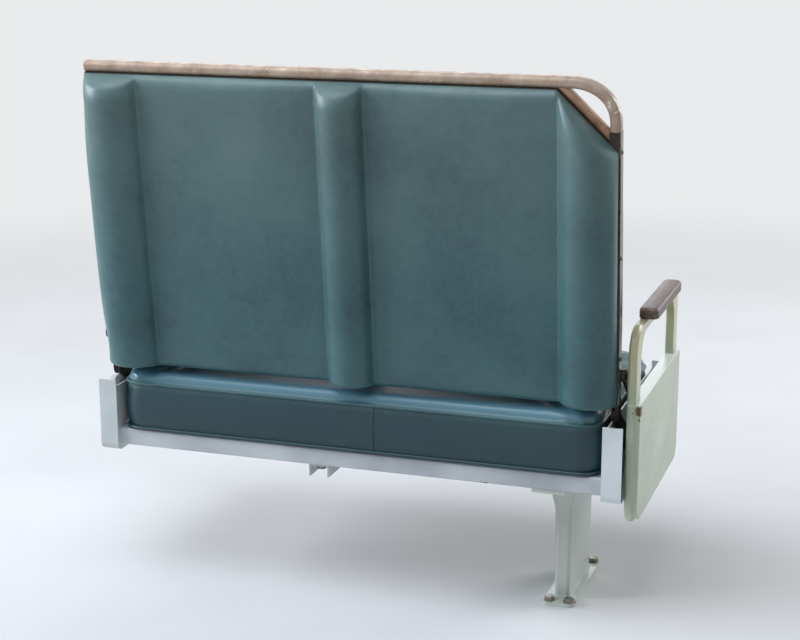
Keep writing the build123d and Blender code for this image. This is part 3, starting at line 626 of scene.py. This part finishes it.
bend, grip_foot = (0.123, -0.262, 0.985), (0.105, -0.256, 0.94)
rail_lacquer = worn_lacquer("worn_tan_lacquer", "98816f", "b29b87", "c5b39f", bend, 0.034, "dadfcb")
finish_nodes(rail_lacquer, "back_rail")
grip_lacquer = worn_lacquer("rubbed_grip_lacquer", "8a6347", "ae8568", "c2a184", grip_foot, 0.02, "54361f")
finish_nodes(grip_lacquer, "corner_grip")
finish_nodes(dull_chrome("dulled_bright_strip"), "side_strip")
finish_nodes(thin_enamel("black_frame_enamel", "15191a", "2b3033"), "wall_stile", "back_bottom_rail")
finish_nodes(thin_enamel("rusty_stile_enamel", "2b2420", "5a4333"), "aisle_stile")
# Painted shadow: the board is drawn near black, for the dark line of shade under the top rail.
finish_nodes(plywood_painted_shadow("plywood_painted_shadow"), "back_board")
round_head = [(0.3, 0.1, 0), (4.6, 0.1, 0), (4.7, 0.5, 0), (4.3, 1.4, 0), (3.3, 2.2, 0), (1.8, 2.7, 0),
              (0.3, 2.9, 0)]
strip_x = node_box("side_strip")[1][0]
strip_screws = [(round_head, on_back(strip_x, up, 0.0), (1, 0, 0)) for up in (88.0, 278.0, 469.0)]
turned("strip_screws", strip_screws, bolt_steel, "back")


# Covers of the back, one on each face. Green vinyl sewn over hair and springs: three firm
# upright bolsters stand out between two nearly flat panels, and stop short under the top rail.
bolsters = [(-891.0, -781.0), (-426.5, -336.5), (18.0, 121.0)]
flats = [(-781.0, -426.5), (-336.5, 18.0)]
seams = [-781.0, -426.5, -336.5, 18.0]
core, flat_rise, crest_rise = 13.3, 13.5, 40.0


def cover_out(x, up, top):
    """Height of the cover over the board's middle plane. Flats: core + flat_rise, crowned by 3 mm,
    rounded off at the edges and puckered every 33 mm by the seam's stitches. Bolster: the arc of a
    circle through its two seams and its crest, and on the outer two a quarter ellipse down to the
    board, both rounded off over the last 50 mm under the top."""
    edge_round, foot_round, top_fade = 18, 14, 50
    below = np.maximum(top - up, 0.0)
    edge = np.sqrt(np.clip(1 - (1 - np.clip(below / edge_round, 0, 1)) ** 2, 0, 1)) * 0.85 + 0.15
    foot = np.sqrt(np.clip(1 - (1 - np.clip(up / foot_round, 0, 1)) ** 2, 0, 1)) * 0.9 + 0.1
    fade = np.sqrt(np.clip(1 - (1 - np.clip(below / top_fade, 0, 1)) ** 2, 0, 1))
    out = np.full_like(x, flat_rise)
    for low, high in flats:
        v = np.clip((x - (low + high) / 2) / ((high - low) / 2), -1, 1)
        out = np.where((x >= low) & (x <= high), flat_rise + 3.0 * (1 - v**4), out)
    for low, high in bolsters:
        half, mid = (high - low) / 2, (high + low) / 2
        radius = (half**2 + crest_rise**2) / (2 * crest_rise)
        arc = np.sqrt(np.clip(radius**2 - (x - mid) ** 2, 0, None)) - (radius - crest_rise)
        inside = (x >= low) & (x <= high)
        out = np.where(inside, flat_rise + np.maximum(arc, 0) * fade, out)
        if low < -800 or high > 100:
            outer = inside & ((x < mid) if low < -800 else (x > mid))
            flank = np.sqrt(np.clip(1 - ((x - mid) / half) ** 2, 0, 1))
            out = np.where(outer, (flat_rise + crest_rise * fade) * flank, out)
    for seam in seams:
        out = out + 0.7 * np.exp(-abs(x - seam) / 9) * np.sin(up / 5.2 + 2 * np.sin(up / 31))
    out = out + 0.8 * np.sin(x / 37 + up / 61) * np.sin(up / 43 - x / 83)
    return core + np.maximum(out, 0.0) * edge * foot


def cover_top(x):
    """Upper edge of the cover: straight under the rail, then down along the grip's lower side."""
    return 577.4 - 0.989 * np.maximum(x - 12.6, 0.0)


def cover_columns():
    """Places across the back, 5 mm apart and closer at the seams, with one exactly on each seam."""
    marks = [-890.7] + seams + [120.7]
    columns = []
    for low, high in zip(marks[:-1], marks[1:]):
        spaced = np.linspace(0, 1, int((high - low) / 5))
        columns.append(low + (high - low) * (spaced - 0.03 * np.sin(4 * np.pi * spaced)))
    return np.unique(np.concatenate(columns))


def cover_pins(toward):
    """Held points of a cover: its rim and back, and its four seams."""
    def held(p):
        out = ((p[:, 1] - edge_y) * math.cos(lean) + (p[:, 2] - edge_z) * math.sin(lean)) * toward
        on_seam = np.min(abs(p[:, :1] - np.array(seams)), axis=1) < 1.0
        return (out < core + 3.0) | on_seam
    return held


columns = cover_columns()
rows_up = np.concatenate([np.linspace(0, 0.03, 5), np.linspace(0.04, 0.86, 72), np.linspace(0.87, 1.0, 20)])
for face_name, toward in (("rear", -1), ("front", 1)):
    x, t = np.meshgrid(columns, rows_up, indexing="ij")
    top = cover_top(x)
    skin_side = on_back(x, t * top, toward * cover_out(x, t * top, top))
    xb, tb = np.meshgrid(columns, rows_up[::-1][::4], indexing="ij")
    board_side = on_back(xb, tb * cover_top(xb), toward * (core + 0 * xb))
    cover_grid = np.concatenate([skin_side, board_side], axis=1)
    cover = skin(face_name + "_cover", cover_grid, vinyl, "back")
    swell(cover, cover_pins(toward), 3.0, 5.0, (-892.0, -np.inf, -np.inf), (121.5, np.inf, np.inf))
    soften(cover)
    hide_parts(*[face_name + "_" + n for n in ("wall_bolster", "wall_pad", "centre_bolster",
                                                       "aisle_pad", "aisle_bolster")])


# Studio. A pale floor that runs up into a backdrop, big soft lamps at a plain level, strongest
# from the window side, and the camera where the photographer stood, behind the seat.
def stage_sheet():
    """Floor bent up into a wall: y runs back, then a quarter circle of 1.2 m, then up."""
    s = np.linspace(0, 1, 60)
    floor_y = np.concatenate([np.linspace(-9, 5, 20), 5 + 1.2 * np.sin(s * np.pi / 2), np.full(10, 6.2)])
    floor_z = np.concatenate([np.zeros(20), 1.2 - 1.2 * np.cos(s * np.pi / 2), np.linspace(1.3, 7, 10)])
    x = np.linspace(-9, 9, 12)
    points = np.stack(np.broadcast_arrays(x[None], floor_y[:, None], floor_z[:, None]), axis=-1)
    rows, cols = points.shape[:2]
    r, c = np.meshgrid(np.arange(rows - 1), np.arange(cols - 1), indexing="ij")
    a = r * cols + c
    return points.reshape(-1, 3), np.stack([a, a + 1, a + cols + 1, a + cols], axis=-1).reshape(-1, 4).tolist()


def seen_or_mirrored(tree):
    """1 for rays from the camera and for reflected and refracted ones, which see the plain background."""
    path = add(tree, "LightPath").outputs
    straight = add(tree, "Math", links=[(0, path["Is Camera Ray"]), (1, path["Is Glossy Ray"])],
                   operation="MAXIMUM")
    return add(tree, "Math", links=[(0, straight), (1, path["Is Transmission Ray"])], operation="MAXIMUM")


points, faces = stage_sheet()
sheet = bpy.data.meshes.new("studio_floor")
sheet.from_pydata(points.tolist(), [], faces)
sheet.polygons.foreach_set("use_smooth", [True] * len(faces))
floor = bpy.data.objects.new("studio_floor", sheet)
bpy.context.scene.collection.objects.link(floor)
background = linear("e9ebec")
# Matt background paper, pale grey. Beyond 1.5 m from the seat's middle it turns for the eye to the
# plain background, and nearer it is lit as it is, so that the shadow shows.
paper, tree, shader, place = new_material("pale_paper", [("Roughness", 0.85), ("Specular IOR Level", 0.2)])
fleck = add(tree, "TexNoise", [("Scale", 2.0), ("Detail", 3.0)], [("Vector", place)])
tint = add(tree, "ValToRGB", links=[("Fac", fleck)], stops=[(0.3, linear("e2e2e1")), (0.7, linear("e9e9e8"))])
feed(tree, shader, [("Base Color", tint)])
away = add(tree, "VectorMath", [(1, (-0.35, 0.0, 0.0))], [(0, place)], operation="DISTANCE")
far = add(tree, "MapRange", [("From Min", 1.5), ("From Max", 4.5)], [("Value", away.outputs["Value"])],
          interpolation_type="SMOOTHSTEP")
plain = add(tree, "Math", links=[(0, far), (1, seen_or_mirrored(tree))], operation="MULTIPLY")
glow = add(tree, "Emission", [("Color", background), ("Strength", 1.0)])
both = add(tree, "MixShader", links=[("Fac", plain), (1, shader), (2, glow)])
feed(tree, tree.nodes["Material Output"], [("Surface", both)])
sheet.materials.append(paper)

world = bpy.data.worlds.new("studio")
bpy.context.scene.world = world
world.use_nodes = True
tree = world.node_tree
room_light = tree.nodes["Background"]
room_light.inputs["Color"].default_value = linear("eef2f6")
room_light.inputs["Strength"].default_value = 0.15
plain = add(tree, "Background", [("Color", background), ("Strength", 1.0)])
both = add(tree, "MixShader", links=[("Fac", seen_or_mirrored(tree)), (1, room_light), (2, plain)])
feed(tree, tree.nodes["World Output"], [("Surface", both)])


def lamp(name, place, aim, size, watts, colour):
    """A soft box at a place, turned to aim at a point."""
    data = bpy.data.lights.new(name, "AREA")
    data.shape = "RECTANGLE"
    data.size, data.size_y = size
    data.energy = watts
    data.color = linear(colour)[:3]
    box = bpy.data.objects.new(name, data)
    bpy.context.scene.collection.objects.link(box)
    box.location = place
    box.rotation_euler = (Vector(aim) - Vector(place)).to_track_quat("-Z", "Y").to_euler()


lamp("window_side", (-5.0, -1.6, 2.4), (-0.35, -0.2, 0.65), (2.8, 2.2), 235.0, "f0f5ff")
lamp("aisle_side", (2.1, 2.5, 1.6), (-0.1, 0.0, 0.4), (1.6, 1.6), 58.0, "f8faff")
lamp("overhead", (-0.8, -1.2, 3.2), (-0.35, -0.1, 0.4), (3.2, 2.2), 68.0, "ecf3ff")
lamp("far_side", (-1.4, 3.2, 1.9), (-0.3, 0.0, 0.6), (2.4, 1.2), 24.0, "f8faff")

photo_eye, seat_middle = (0.701, -3.171, 1.340), (-0.345, -0.05, 0.525)
eye = bpy.data.cameras.new("photo_camera")
camera = bpy.data.objects.new("photo_camera", eye)
bpy.context.scene.collection.objects.link(camera)
camera.location = photo_eye
camera.rotation_euler = (Vector(seat_middle) - Vector(photo_eye)).to_track_quat("-Z", "Y").to_euler()
eye.sensor_width = 36.0
eye.lens = 78.0
bpy.context.scene.camera = camera
bpy.context.scene.view_settings.view_transform = "Standard"
